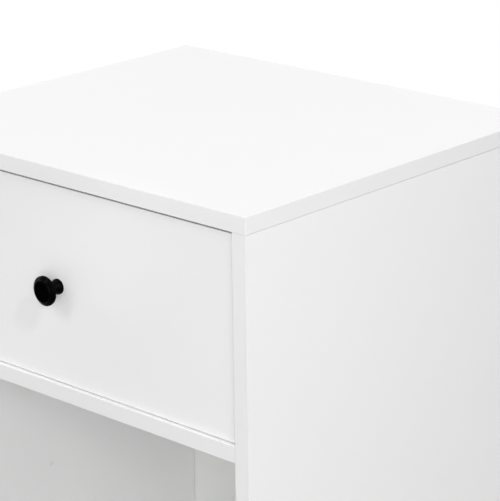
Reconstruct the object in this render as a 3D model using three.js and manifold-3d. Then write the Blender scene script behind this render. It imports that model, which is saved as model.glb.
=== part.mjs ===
// A narrow white storage cabinet with two inset drawers and an open niche between them.
// Millimetres, +Z up, the front faces -Y. X is zero in the middle and Z is zero on the floor.

import * as THREE from "three";
import { mergeVertices } from "three/addons/utils/BufferGeometryUtils.js";
import Module from "manifold-3d";

const wasm = await Module();
wasm.setup();

// Whole cabinet.
const width = 457;
const depth = 406;
const height = 800;
const board = 15;
const drawerOpening = 187;
const plinthHeight = 60;
const plinthRecess = 25;

// Clearances: hairline joints between boards, and the play of a piece in its bore or groove.
const hairline = 0.2;
const play = 0.3;
const overrun = 1;
const weldDistance = 0.0001;

// Back panel, in grooves of the sides, the top and the bottom board.
const backThickness = 3;
const backInset = 14;
const backGroove = 6;

// Drilled hole on the inner face of each side.
const pinHoleDiameter = 5;
const pinHoleDepth = 9;
const pinHoleFromFront = 177;
const pinHoleUnderShelf = 182;

// Cam locks: a zinc cam in a blind bore, caught on a bolt screwed into the next board.
const camBore = 15;
const camFloor = 2.5;
const camFromEdge = 24;
const camFromFront = 50;
const boltBore = 7;
const threadBore = 5.6;
const threadFloor = 4;

// Glides, each a plastic pad with a spigot pushed up into the lower edge of a side.
const glideHeight = 4;
const glideLength = 30;
const glideMargin = 1;
const glideFromEnd = 25;
const spigotDiameter = 6;
const spigotLength = 12;

// Drawer front and its shadow gaps.
const frontRecess = 4;
const frontGapTop = 3.1;
const frontGapBottom = 0.9;
const frontGapSide = 3.9;

// Drawer box.
const boxBoard = 12;
const boxHeight = 130;
const boxBottom = 3;
const boxGroove = 6;
const boxBottomUp = 10;
const boxRearSpace = 20;

// Runners: bent steel channels on the cabinet, bent steel rails on the drawer, a roller on each.
const runnerSpace = 12.5;
const runnerUp = 8;
const steel = 1.2;
const channelBehindFront = 2;
const channelLipSpace = 0.6;
const railUnderside = 0.6;
const railShelf = 10;
const railHeadroom = 1;
const stopFromFront = 67;
const stopHeight = 3;
const stopLength = 4;

// Rollers and the riveted pins that carry them.
const rollerDiameter = 18;
const rollerBore = 5.4;
const rollerChamfer = 0.6;
const pinCollar = 1.2;
const pinCollarDiameter = 8;
const pinHead = 0.8;
const pinSpace = 1;

// Knob: a base that tapers to a neck, a flared head with a rim, and a dished face inside a cove.
const knobProjection = 19.6;
const knobDiameter = 27.3;
const knobFaceDiameter = 21;
const knobNeckDiameter = 8.2;
const knobBaseDiameter = 14.4;
const knobBaseHeight = 8;
const knobHeadBack = 9;
const knobRimBack = 2.8;
const knobRimThickness = 2;
const knobRimRound = 0.5;
const knobCove = 0.8;
const knobDish = 0.4;
const knobBelowMiddle = 0.9;
// Shares of the way out from neck to base, and up the base.
const knobBaseShares = [[0.97, 0], [1, 0.12], [0.9, 0.3], [0.65, 0.5], [0.25, 0.75], [0, 1]];

// Screw that holds the knob, through the drawer front.
const screwDiameter = 4;
const screwEngagement = 9;
const screwHeadDiameter = 8;
const screwHeadHeight = 2.2;

// Facets of round pieces.
const fineFacets = 32;
const rollerFacets = 20;
const camFacets = 16;
const boreFacets = 8;

// Places worked out from the sizes above.
const innerHalf = width / 2 - board;
const topUnderside = height - board;
const sideTop = topUnderside - hairline;
const backFront = depth - backInset - backThickness;
const shelfTop = topUnderside - drawerOpening;
const bottomTop = plinthHeight + board;
const nicheFloorTop = bottomTop + drawerOpening + board;
const fullDepth = [0, depth];
const depthToBack = [0, backFront - hairline];
const boxFront = frontRecess + board;
const boxRear = backFront - boxRearSpace;
const knobFrontY = frontRecess - knobProjection;

// Solids for cutting and joining, and back again.
function solidOf(geometry) {
  const bare = geometry.clone();
  bare.deleteAttribute("normal");
  bare.deleteAttribute("uv");
  const merged = mergeVertices(bare, weldDistance);
  const corners = [];
  for (let i = 0; i < merged.index.count; i += 3) {
    const [a, b, c] = merged.index.array.slice(i, i + 3);
    if (a !== b && b !== c && c !== a) corners.push(a, b, c);
  }
  const vertProperties = merged.getAttribute("position").array;
  return new wasm.Manifold(new wasm.Mesh({ numProp: 3, vertProperties, triVerts: new Uint32Array(corners) }));
}

function geometryOf(solid) {
  const mesh = solid.getMesh();
  const geometry = new THREE.BufferGeometry();
  geometry.setAttribute("position", new THREE.BufferAttribute(new Float32Array(mesh.vertProperties), 3));
  geometry.setIndex(new THREE.BufferAttribute(new Uint32Array(mesh.triVerts), 1));
  geometry.computeVertexNormals();
  return geometry;
}

function join(...geometries) {
  return geometryOf(geometries.map(solidOf).reduce((whole, part) => whole.add(part)));
}

function cut(geometry, ...tools) {
  return geometryOf(tools.map(solidOf).reduce((whole, part) => whole.subtract(part), solidOf(geometry)));
}

// A block between two values on each axis, given in either order.
function block(xs, ys, zs) {
  const sizes = [xs, ys, zs].map(([from, to]) => Math.abs(to - from));
  const middles = [xs, ys, zs].map(([from, to]) => (from + to) / 2);
  return new THREE.BoxGeometry(...sizes).translate(...middles);
}

// A turned piece about the Y axis, from [radius, y] points in order of rising y.
function turned(points, facets) {
  return new THREE.LatheGeometry(points.map(([radius, y]) => new THREE.Vector2(radius, y)), facets);
}

// A plain rod along Y, standing on the plane y = 0.
function rod(diameter, length, facets = boreFacets) {
  return new THREE.CylinderGeometry(diameter / 2, diameter / 2, length, facets).translate(0, length / 2, 0);
}

// Finishes. Each piece gets a material of its own.
const finishes = {
  melamine: { color: 0xf1f1ef, roughness: 0.42, metalness: 0 },
  hardboard: { color: 0xe9e8e4, roughness: 0.55, metalness: 0 },
  blackSatin: { color: 0x0b0b0c, roughness: 0.32, metalness: 0 },
  coatedSteel: { color: 0xe4e4e0, roughness: 0.4, metalness: 0.2 },
  nylon: { color: 0xeeeee6, roughness: 0.5, metalness: 0 },
  zinc: { color: 0xa9abad, roughness: 0.38, metalness: 0.9 },
  glidePlastic: { color: 0x2a2a2b, roughness: 0.6, metalness: 0 },
};

function piece(group, name, finish, geometry, x, y, z) {
  const mesh = new THREE.Mesh(geometry, new THREE.MeshStandardMaterial(finishes[finish]));
  mesh.name = name;
  mesh.position.set(x, y, z);
  group.add(mesh);
  return mesh;
}

// A board that is placed by the corner nearest the left, the front and the floor.
function boardPiece(group, name, finish, xs, ys, zs) {
  const geometry = block([0, xs[1] - xs[0]], [0, ys[1] - ys[0]], [0, zs[1] - zs[0]]);
  return piece(group, name, finish, geometry, xs[0], ys[0], zs[0]);
}

// Cuts tools, given in the coordinates of the board's group, out of a board.
function carve(mesh, ...tools) {
  const { x, y, z } = mesh.position;
  mesh.geometry = cut(mesh.geometry, ...tools.map((tool) => tool.clone().translate(-x, -y, -z)));
}

const cabinet = new THREE.Group();

// Boards of the carcass. The top lies on the sides and the other boards stand between them.
const between = [hairline - innerHalf, innerHalf - hairline];
const topBoard = boardPiece(
  cabinet, "top_board", "melamine", [-width / 2, width / 2], fullDepth, [topUnderside, height],
);
const sides = {
  left: boardPiece(
    cabinet, "left_side", "melamine", [-width / 2, -innerHalf], fullDepth, [glideHeight, sideTop],
  ),
  right: boardPiece(
    cabinet, "right_side", "melamine", [innerHalf, width / 2], fullDepth, [glideHeight, sideTop],
  ),
};
const drawerShelf = boardPiece(
  cabinet, "drawer_shelf", "melamine", between, depthToBack, [shelfTop - board, shelfTop],
);
const nicheFloor = boardPiece(
  cabinet, "niche_floor", "melamine", between, depthToBack, [nicheFloorTop - board, nicheFloorTop],
);
const bottomBoard = boardPiece(
  cabinet, "bottom_board", "melamine", between, fullDepth, [plinthHeight, bottomTop],
);
boardPiece(
  cabinet, "plinth_board", "melamine", between, [plinthRecess, plinthRecess + board],
  [glideHeight, plinthHeight - hairline],
);

// The back panel slides down in grooves that open at the top ends of the sides.
const backHalf = innerHalf + backGroove;
const grooveY = [backFront - play, backFront + backThickness + play];
boardPiece(
  cabinet, "back_panel", "hardboard", [play - backHalf, backHalf - play],
  [backFront, backFront + backThickness],
  [bottomTop - backGroove + play, topUnderside + backGroove - play],
);
const topGrooveZ = [topUnderside - overrun, topUnderside + backGroove];
const bottomGrooveZ = [bottomTop - backGroove, bottomTop + overrun];
carve(topBoard, block([-backHalf, backHalf], grooveY, topGrooveZ));
carve(bottomBoard, block([-backHalf, backHalf], grooveY, bottomGrooveZ));
const sideGrooveZ = [bottomTop - backGroove, sideTop + overrun];
for (const [hand, side] of [[-1, sides.left], [1, sides.right]]) {
  const pinHoleZ = shelfTop - board - pinHoleUnderShelf;
  const pinHole = rod(pinHoleDiameter, pinHoleDepth + overrun)
    .rotateZ((-hand * Math.PI) / 2)
    .translate(hand * (innerHalf - overrun), pinHoleFromFront, pinHoleZ);
  carve(side, block([hand * (innerHalf - overrun), hand * backHalf], grooveY, sideGrooveZ), pinHole);
}

// One cam lock. Its own X runs along the bolt and its own Z out of the face that the cam is set in.
// The cam and its bolt are hooked into each other, so they are one solid.
const camDepth = board - camFloor;
const boltEnd = camFromEdge + hairline + board - threadFloor;

function lockGeometry(clearance, beyondFace) {
  const cam = rod(camBore - 2 * clearance, camDepth - clearance + beyondFace, camFacets)
    .rotateX(Math.PI / 2)
    .translate(0, 0, clearance - camDepth);
  const along = (diameter, length) =>
    rod(diameter - 2 * clearance, length - clearance).rotateZ(-Math.PI / 2).translate(0, 0, -board / 2);
  return join(cam, along(boltBore, camFromEdge), along(threadBore, boltEnd));
}

function camLock(name, holder, mate, along, facing, x, y, z) {
  const lock = piece(cabinet, name, "zinc", lockGeometry(play, 0), x, y, z);
  const across = new THREE.Vector3().crossVectors(facing, along);
  lock.quaternion.setFromRotationMatrix(new THREE.Matrix4().makeBasis(along, across, facing));
  lock.updateMatrix();
  const bores = lockGeometry(0, overrun).applyMatrix4(lock.matrix);
  carve(holder, bores);
  carve(mate, bores);
}

// A glide under one end of a side: a pad a little narrower than the board, and its spigot.
function glide(name, side, hand, y) {
  const middleX = hand * (innerHalf + board / 2);
  const half = board / 2 - glideMargin;
  const spigot = (clearance) =>
    rod(spigotDiameter + 2 * clearance, glideHeight + spigotLength + clearance)
      .rotateX(Math.PI / 2)
      .translate(0, glideLength / 2, 0);
  const pad = block([-half, half], [0, glideLength], [0, glideHeight - hairline]);
  const lifted = cut(spigot(0), block([-half, half], [0, glideLength], [0, overrun]));
  piece(cabinet, name, "glidePlastic", join(pad, lifted), middleX, y, 0);
  carve(side, spigot(play).translate(middleX, y, 0));
}

const up = new THREE.Vector3(0, 0, 1);
const down = new THREE.Vector3(0, 0, -1);
for (const [handName, hand] of [["left", -1], ["right", 1]]) {
  const outward = new THREE.Vector3(hand, 0, 0);
  const inward = new THREE.Vector3(-hand, 0, 0);
  for (const [rowName, y] of [["front", camFromFront], ["rear", backFront - camFromFront]]) {
    camLock(
      `top_cam_lock_${handName}_${rowName}`, sides[handName], topBoard, up, inward,
      hand * innerHalf, y, sideTop - camFromEdge,
    );
    for (const [boardName, shelf] of [
      ["drawer_shelf", drawerShelf], ["niche_floor", nicheFloor], ["bottom_board", bottomBoard],
    ]) {
      camLock(
        `${boardName}_cam_lock_${handName}_${rowName}`, shelf, sides[handName], outward, down,
        hand * (innerHalf - hairline - camFromEdge), y, shelf.position.z,
      );
    }
  }
  for (const [rowName, y] of [["front", glideFromEnd], ["rear", depth - glideFromEnd - glideLength]]) {
    glide(`glide_${handName}_${rowName}`, sides[handName], hand, y);
  }
}

// Knob profile from the screw bore round the outside to the dished face, as [radius, distance forward].
const knobRadius = knobDiameter / 2;
const knobNeckRadius = knobNeckDiameter / 2;
const knobFaceRadius = knobFaceDiameter / 2;
const knobRimPlane = knobProjection - knobRimBack;
const knobRimRear = knobRimPlane - knobRimThickness;
const knobTaper = knobBaseDiameter / 2 - knobNeckRadius;
const knobPoints = [
  [0, screwEngagement + play],
  [screwDiameter / 2 + play, screwEngagement + play],
  [screwDiameter / 2 + play, 0],
  ...knobBaseShares.map(([out, rise]) => [knobNeckRadius + out * knobTaper, rise * knobBaseHeight]),
  [knobNeckRadius, knobProjection - knobHeadBack],
  [knobRadius - knobRimRound, knobRimRear],
  [knobRadius, knobRimRear + knobRimRound],
  [knobRadius, knobRimPlane - knobRimRound],
  [knobRadius - knobRimRound, knobRimPlane],
  [knobFaceRadius + knobCove, knobProjection - knobCove],
  [knobFaceRadius, knobProjection - knobCove],
  [knobFaceRadius - knobCove, knobProjection],
  [0, knobProjection - knobDish],
];

// One drawer with its two runners, standing in the opening whose floor is at z.
function drawer(prefix, z) {
  const fixed = new THREE.Group();
  const moving = new THREE.Group();
  fixed.position.z = z;
  moving.position.z = z;
  cabinet.add(fixed, moving);

  // Heights over the opening's floor, up from the channel to the drawer box.
  const rollerZ = runnerUp + steel + play + rollerDiameter / 2;
  const railTop = rollerZ + rollerDiameter / 2 + play;
  const channelTop = railTop + steel + railHeadroom + steel;
  const boxZ = runnerUp + railUnderside + steel + hairline;
  const boxHalf = innerHalf - runnerSpace;
  const innerBoxHalf = boxHalf - boxBoard;
  const bottomZ = boxZ + boxBottomUp;
  const boxGrooveZ = [bottomZ - play, bottomZ + boxBottom + play];

  const frontHalf = innerHalf - frontGapSide;
  const frontZ = [frontGapBottom, drawerOpening - frontGapTop];
  const knobZ = (frontZ[0] + frontZ[1]) / 2 - knobBelowMiddle;
  const front = boardPiece(
    moving, `${prefix}_drawer_front`, "melamine", [-frontHalf, frontHalf],
    [frontRecess, frontRecess + board], frontZ,
  );
  const screwHole = rod(screwDiameter + 2 * play, board + 2 * overrun);
  const bottomHalf = innerBoxHalf + boxGroove;
  carve(
    front,
    screwHole.translate(0, frontRecess - overrun, knobZ),
    block([-bottomHalf, bottomHalf], [boxFront - boxGroove, boxFront + overrun], boxGrooveZ),
  );

  const boxY = [boxFront + hairline, boxRear];
  for (const [handName, hand] of [["left", -1], ["right", 1]]) {
    const xs = [hand * innerBoxHalf, hand * boxHalf].sort((a, b) => a - b);
    const side = boardPiece(
      moving, `${prefix}_drawer_${handName}_side`, "melamine", xs, boxY, [boxZ, boxZ + boxHeight],
    );
    carve(side, block(
      [hand * (innerBoxHalf - overrun), hand * bottomHalf], [boxFront, boxRear + overrun], boxGrooveZ,
    ));
  }
  const backWidth = [hairline - innerBoxHalf, innerBoxHalf - hairline];
  boardPiece(
    moving, `${prefix}_drawer_back`, "melamine", backWidth, [boxRear - boxBoard, boxRear],
    [bottomZ + boxBottom + hairline, boxZ + boxHeight],
  );
  boardPiece(
    moving, `${prefix}_drawer_bottom`, "hardboard", [play - bottomHalf, bottomHalf - play],
    [boxFront - boxGroove + play, boxRear], [bottomZ, bottomZ + boxBottom],
  );

  // The knob stands on the front, and its screw comes through from inside the drawer.
  const knobProfile = knobPoints.map(([radius, forward]) => [radius, -forward]).reverse();
  piece(
    moving, `${prefix}_knob`, "blackSatin", turned(knobProfile, fineFacets), 0, frontRecess - hairline, knobZ,
  );
  const screwPoints = [
    [0, -board - screwEngagement],
    [screwDiameter / 2, -board - screwEngagement],
    [screwDiameter / 2, hairline],
    [screwHeadDiameter / 2, hairline],
    [screwHeadDiameter / 2, screwHeadHeight / 2],
    [screwHeadDiameter / 4, screwHeadHeight],
    [0, screwHeadHeight],
  ];
  piece(moving, `${prefix}_knob_screw`, "zinc", turned(screwPoints, boreFacets), 0, boxFront, knobZ);

  // Distances from the cabinet side towards the drawer: webs, the span between them, the roller in it.
  const channelWeb = hairline + steel;
  const railWeb = runnerSpace - hairline - steel;
  const rollerWidth = railWeb - channelWeb - pinCollar - pinHead - 2 * hairline - pinSpace;
  const channelReach = railWeb - channelLipSpace;
  const channelFront = boxFront + channelBehindFront;
  const channelRear = boxRear + play + steel;
  const channelY = [channelFront, channelRear];
  const stopRear = channelFront + stopFromFront;
  const rollerPoints = [
    [rollerBore / 2, 0],
    [rollerDiameter / 2 - rollerChamfer, 0],
    [rollerDiameter / 2, rollerChamfer],
    [rollerDiameter / 2, rollerWidth - rollerChamfer],
    [rollerDiameter / 2 - rollerChamfer, rollerWidth],
    [rollerBore / 2, rollerWidth],
    [rollerBore / 2, 0],
  ];
  const pinEnd = pinCollar + rollerWidth + 2 * hairline;
  const pinPoints = [
    [0, -steel / 2],
    [pinCollarDiameter / 2, -steel / 2],
    [pinCollarDiameter / 2, pinCollar],
    [rollerBore / 2 - play, pinCollar],
    [rollerBore / 2 - play, pinEnd],
    [pinCollarDiameter / 2, pinEnd],
    [pinCollarDiameter / 2, pinEnd + pinHead],
    [0, pinEnd + pinHead],
  ];

  for (const [handName, hand] of [["left", -1], ["right", 1]]) {
    const onCabinet = new THREE.Group();
    const onBox = new THREE.Group();
    onCabinet.position.x = hand * innerHalf;
    onBox.position.x = hand * innerHalf;
    fixed.add(onCabinet);
    moving.add(onBox);
    const span = (from, to) => [-hand * from, -hand * to];

    // A pin and its roller stand on a web's face at a distance, towards the drawer (1) or away from it (-1).
    const pin = (distance, towards, y) =>
      turned(pinPoints, boreFacets)
        .rotateZ((hand * towards * Math.PI) / 2)
        .translate(-hand * distance, y, rollerZ);
    const roller = (group, name, distance, towards, y) => {
      const geometry = turned(rollerPoints, rollerFacets).rotateZ((hand * towards * Math.PI) / 2);
      const x = -hand * (distance + towards * (pinCollar + hairline));
      piece(group, name, "nylon", geometry, x, y, rollerZ);
    };

    const channelRollerY = channelFront + rollerDiameter / 2;
    const channelSpan = span(hairline, channelReach);
    const channel = join(
      block(span(hairline, channelWeb), channelY, [runnerUp, channelTop]),
      block(channelSpan, channelY, [runnerUp, runnerUp + steel]),
      block(channelSpan, channelY, [channelTop - steel, channelTop]),
      block(channelSpan, [channelRear - steel, channelRear], [runnerUp, channelTop]),
      block(channelSpan, [stopRear - stopLength, stopRear], [runnerUp, runnerUp + steel + stopHeight]),
      pin(channelWeb, 1, channelRollerY),
    );
    piece(onCabinet, `${prefix}_${handName}_cabinet_runner`, "coatedSteel", channel, 0, 0, 0);
    roller(onCabinet, `${prefix}_${handName}_cabinet_roller`, channelWeb, 1, channelRollerY);

    const railRollerY = boxRear - rollerDiameter / 2;
    const railZ = runnerUp + railUnderside;
    const rail = join(
      block(span(railWeb, railWeb + steel), boxY, [railZ, railTop + steel]),
      block(span(channelWeb + pinSpace, railWeb + steel), boxY, [railTop, railTop + steel]),
      block(span(railWeb, railWeb + steel + railShelf), boxY, [railZ, railZ + steel]),
      pin(railWeb, -1, railRollerY),
    );
    piece(onBox, `${prefix}_${handName}_drawer_runner`, "coatedSteel", rail, 0, 0, 0);
    roller(onBox, `${prefix}_${handName}_drawer_roller`, railWeb, -1, railRollerY);
  }
}

drawer("upper", shelfTop);
drawer("lower", bottomTop);

// The origin lies on the floor under the middle of the whole, knobs included.
const sideboard = new THREE.Group();
cabinet.position.y = -(knobFrontY - hairline + depth) / 2;
sideboard.add(cabinet);

export default sideboard;
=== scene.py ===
import math

import bmesh
import bpy
from mathutils import Euler, Matrix, Vector


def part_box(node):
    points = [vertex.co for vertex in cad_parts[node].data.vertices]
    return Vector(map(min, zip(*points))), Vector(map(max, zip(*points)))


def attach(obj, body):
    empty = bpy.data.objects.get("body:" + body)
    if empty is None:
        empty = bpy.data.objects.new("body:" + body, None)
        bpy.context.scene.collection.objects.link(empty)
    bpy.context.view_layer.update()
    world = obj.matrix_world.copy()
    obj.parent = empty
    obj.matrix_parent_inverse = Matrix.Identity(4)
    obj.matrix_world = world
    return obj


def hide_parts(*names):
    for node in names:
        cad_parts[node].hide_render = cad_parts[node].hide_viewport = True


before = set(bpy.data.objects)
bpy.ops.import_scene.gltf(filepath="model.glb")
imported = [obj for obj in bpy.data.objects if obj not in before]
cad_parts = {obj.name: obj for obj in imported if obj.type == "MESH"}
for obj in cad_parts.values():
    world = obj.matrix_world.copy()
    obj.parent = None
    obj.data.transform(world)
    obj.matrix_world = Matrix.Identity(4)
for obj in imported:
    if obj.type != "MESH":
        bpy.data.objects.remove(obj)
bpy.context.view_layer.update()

# Side panels. Two upright particle boards, faced with white melamine on both sides. A thin band is
# glued to the front and upper edges, and the others are left raw. Each is grooved for the back
# panel and bored for the cams that pull the top down, and for a shelf pin.
mm = 0.001
X, Y, Z = 0, 1, 2
sides = (("left", -1), ("right", 1))
rows = ("front", "rear")
band_radius = 0.4 * mm
side_band_radius = 0.12 * mm
facing_slot, band_slot, core_slot, glue_slot = range(4)
square, nearly_square = 0.99, 0.9
bore_facets = 48
groove_play = 0.3 * mm
groove_depth = 6 * mm
overrun = 1 * mm
seam = 0.03 * mm
joint_lip = 0.001 * mm
joint_front, joint_rear = 0.15 * mm, 0.27 * mm

# A mix node's sockets go by number: its share and its two values, or its two colours.
value_inputs, colour_inputs, colour_output = (0, 2, 3), (0, 6, 7), 2


def add(tree, kind, inputs=None, **settings):
    """A node with its settings, and with values or other nodes' outputs on its inputs."""
    made = tree.nodes.new(kind)
    for name, value in settings.items():
        setattr(made, name, value)
    for key, value in (inputs or {}).items():
        sources = value if isinstance(value, list) else [value]
        for source in sources:
            if isinstance(source, bpy.types.NodeSocket):
                tree.links.new(source, made.inputs[key])
            else:
                made.inputs[key].default_value = source
    return made


def math_of(operation, *values):
    """The result of a sum of one to three values, one of them at least a node's output."""
    tree = next(value.id_data for value in values if isinstance(value, bpy.types.NodeSocket))
    return add(tree, "ShaderNodeMath", dict(enumerate(values)), operation=operation).outputs[0]


def times(value, factor, *added):
    """A value times a factor, with another value added if there is one."""
    return math_of("MULTIPLY_ADD" if added else "MULTIPLY", value, factor, *added)


def noise(place, scale, detail, **more):
    """The value of noise at a place."""
    inputs = {"Vector": place, "Scale": scale, "Detail": detail, **more}
    return add(place.id_data, "ShaderNodeTexNoise", inputs).outputs["Fac"]


def cells(place, scale):
    """The outputs of a pattern of random cells."""
    inputs = {"Vector": place, "Scale": scale, "Randomness": 1}
    return add(place.id_data, "ShaderNodeTexVoronoi", inputs).outputs


def colour_mix(tree, share, *ends):
    """A mix of two colours, each of them given or another node's output."""
    known = [end if isinstance(end, bpy.types.NodeSocket) else (*end, 1) for end in ends]
    inputs = dict(zip(colour_inputs, (share, *known)))
    return add(tree, "ShaderNodeMix", inputs, data_type="RGBA").outputs[colour_output]


def new_group(name, kind, inputs, outputs):
    """A node group with named sockets, the values that it is given, and the node that ends it."""
    tree = bpy.data.node_groups.new(name, kind)
    for label, socket, value in inputs:
        made = tree.interface.new_socket(label, in_out="INPUT", socket_type=socket)
        if value is not None:
            made.default_value = value
    for label, socket in outputs:
        tree.interface.new_socket(label, in_out="OUTPUT", socket_type=socket)
    return tree, tree.nodes.new("NodeGroupInput").outputs, tree.nodes.new("NodeGroupOutput")


# Fine relief of a pressed, moulded or sprayed surface: a small grain on a slow wave.
relief, given, end = new_group(
    "Fine relief", "ShaderNodeTree",
    [("Vector", "NodeSocketVector", None), ("Grain", "NodeSocketFloat", 0.4 * mm),
     ("Wave", "NodeSocketFloat", 15 * mm), ("Grain Share", "NodeSocketFloat", 0.5)],
    [("Height", "NodeSocketFloat"), ("Gloss", "NodeSocketFloat"), ("Shade", "NodeSocketFloat")],
)
layers = []
for size, spans, detail in (("Grain", 1, 2), ("Wave", 1, 2), ("Wave", 4, 3), ("Wave", 9, 4)):
    scale = math_of("DIVIDE", 1, times(given[size], spans))
    layers.append(noise(given["Vector"], scale, detail))
heights = dict(zip(value_inputs, (given["Grain Share"], layers[1], layers[0])))
height = add(relief, "ShaderNodeMix", heights).outputs[0]
relief.links.new(height, end.inputs["Height"])
for label, layer, lowest in (("Gloss", layers[2], -1), ("Shade", layers[3], 0)):
    spread = add(relief, "ShaderNodeMapRange", {
        "Value": layer, "From Min": 0.3, "From Max": 0.7, "To Min": lowest, "To Max": 1,
    })
    relief.links.new(spread.outputs[0], end.inputs[label])


def new_material(name):
    """A material, its tree, its shader and the object's own coordinates."""
    material = bpy.data.materials.new(name)
    material.use_nodes = True
    tree = material.node_tree
    place = add(tree, "ShaderNodeTexCoord").outputs["Object"]
    return material, tree, tree.nodes["Principled BSDF"], place


def dress(shader, colour, roughness, height, depth):
    """Gives a shader a colour, a roughness and a relief of this depth."""
    tree = shader.id_data
    skin = add(tree, "ShaderNodeBump", {"Height": height, "Distance": depth}).outputs[0]
    for label, source in (("Base Color", colour), ("Roughness", roughness), ("Normal", skin)):
        tree.links.new(source, shader.inputs[label])


def surface_of(place, grain, wave, share):
    """The outputs of the fine relief at a place."""
    inputs = {"Vector": place, "Grain": grain, "Wave": wave, "Grain Share": share}
    return add(place.id_data, "ShaderNodeGroup", inputs, node_tree=relief).outputs


def finish(name, colour, deep, roughness, spread, grain, wave, share, bump, **plain):
    """A finish on the fine relief. Its colour runs from colour to deep and its gloss by spread."""
    material, tree, shader, place = new_material(name)
    surface = surface_of(place, grain, wave, share)
    gloss = times(surface["Gloss"], spread, roughness)
    tone = colour_mix(tree, surface["Shade"], colour, deep)
    dress(shader, tone, gloss, surface["Height"], bump)
    for label, value in plain.items():
        shader.inputs[label.replace("_", " ")].default_value = value
    return material


melamine = finish(
    "White melamine", (0.9, 0.9, 0.898), (0.892, 0.892, 0.89), 0.42, 0.035,
    grain=0.45 * mm, wave=16 * mm, share=0.8, bump=0.006 * mm,
)
edge_band = finish(
    "White edge band", (0.87, 0.87, 0.868), (0.857, 0.857, 0.855), 0.36, 0.04,
    grain=0.25 * mm, wave=9 * mm, share=0.35, bump=0.01 * mm,
)
glue_line = finish(
    "Glue line beside the band", (0.83, 0.827, 0.82), (0.8, 0.796, 0.786), 0.5, 0.05,
    grain=0.2 * mm, wave=4 * mm, share=0.7, bump=0.01 * mm,
)

# Raw particle board: pressed chips in several browns, with dark pits between them.
core, tree, shader, place = new_material("Raw particle board")
chips, shavings = cells(place, 620), cells(place, 240)
dust = noise(place, 1900, 4)
mixed = colour_mix(tree, 0.45, chips["Color"], shavings["Color"])
browns = add(tree, "ShaderNodeValToRGB", {0: times(dust, 0.25, mixed)})
ramp = browns.color_ramp
ramp.elements[0].position, ramp.elements[0].color = 0.3, (0.2, 0.118, 0.056, 1)
ramp.elements[1].position, ramp.elements[1].color = 0.95, (0.58, 0.42, 0.25, 1)
ramp.elements.new(0.6).color = (0.42, 0.28, 0.15, 1)
rough = times(dust, 0.2, 0.7)
dress(shader, browns.outputs[0], rough, chips["Distance"], 0.25 * mm)


def keep(name, mesh, *materials):
    """An object that shows this mesh, with these materials in its slots."""
    for material in materials:
        mesh.materials.append(material)
    made = bpy.data.objects.new(name, mesh)
    bpy.context.scene.collection.objects.link(made)
    return made


def mesh_of(name, form):
    """A mesh from a form that is done with."""
    mesh = bpy.data.meshes.new(name)
    form.to_mesh(mesh)
    form.free()
    return mesh


def apply_modifiers(piece):
    """The piece's evaluated mesh takes the place of its own, and its modifiers go."""
    bpy.context.view_layer.update()
    shown = piece.evaluated_get(bpy.context.evaluated_depsgraph_get())
    mesh = bpy.data.meshes.new_from_object(shown)
    piece.modifiers.clear()
    piece.data = mesh


def cut(piece, form, slot=core_slot):
    """Cuts a form out of a piece. The faces that it leaves take a slot of the piece's finishes."""
    for face in form.faces:
        face.material_index = slot
    tool = keep("tool", mesh_of("tool", form))
    piece.modifiers.new("Cut", "BOOLEAN").object = tool
    apply_modifiers(piece)
    bpy.data.objects.remove(tool)


def block_into(form, corner, other):
    """Adds a plain block between two opposite corners to a form."""
    corner, other = Vector(corner), Vector(other)
    size = Matrix.Diagonal((*map(abs, other - corner), 1))
    place = Matrix.Translation((corner + other) / 2) @ size
    bmesh.ops.create_cube(form, size=1, matrix=place)


def facing(place, axis):
    """A matrix that stands a piece at a place, with its Z along an axis."""
    turn = Vector((0, 0, 1)).rotation_difference(Vector(axis)).to_matrix().to_4x4()
    return Matrix.Translation(place) @ turn


def bore_into(form, mouth, axis, diameter, depth):
    """Adds a bore's space to a form. It runs its depth both ways from its mouth."""
    bmesh.ops.create_cone(
        form, cap_ends=True, segments=bore_facets, radius1=diameter / 2, radius2=diameter / 2,
        depth=2 * depth, matrix=facing(mouth, axis),
    )


def faces_any(face, ways, least):
    """Whether a face looks along one of these (axis, side) ways."""
    return any(face.normal[axis] * side > least for axis, side in ways)


def eased_block(low, high, radius, raw=()):
    """A form of a block. Its edges are rounded, apart from the sharp ones round a raw face."""
    form = bmesh.new()
    block_into(form, low, high)
    form.normal_update()
    bare = {face for face in form.faces if faces_any(face, raw, nearly_square)}
    eased = [edge for edge in form.edges if bare.isdisjoint(edge.link_faces)]
    bmesh.ops.bevel(form, geom=eased, offset=radius, segments=3, profile=0.5, affect="EDGES")
    form.normal_update()
    return form


def board(
    node, across, raw, body, tight=(), radius=band_radius,
    facing_finish=melamine, spaces=None,
):
    """The faced board that stands for a CAD node. across is the axis of its thickness, raw has the
    (axis, side) of each edge without a band, tight has each edge that is drawn up to the next
    board, radius eases its bands, and spaces is a form to cut away."""
    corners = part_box(node)
    for axis, side in tight:
        corners[side > 0][axis] += side * draw
    form = eased_block(*corners, radius, raw)
    for face in form.faces:
        share = abs(face.normal[across])
        if share > square:
            face.material_index = facing_slot
        elif faces_any(face, raw, square):
            face.material_index = core_slot
        else:
            face.material_index = glue_slot if share > nearly_square else band_slot
    name = "faced_" + node
    piece = keep(name, mesh_of(name, form), facing_finish, edge_band, core, glue_line)
    if spaces:
        cut(piece, spaces)
    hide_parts(node)
    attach(piece, body)
    return piece


panel_low, panel_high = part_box("back_panel")
panel_floor = panel_low.z - groove_play


def back_groove(form, start, end, floor, ceiling):
    """Adds the groove that holds the back panel to a form, between two values of X and of Z."""
    front, rear = panel_low.y - groove_play, panel_high.y + groove_play
    block_into(form, (start, front, floor), (end, rear, ceiling))
    return form


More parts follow.
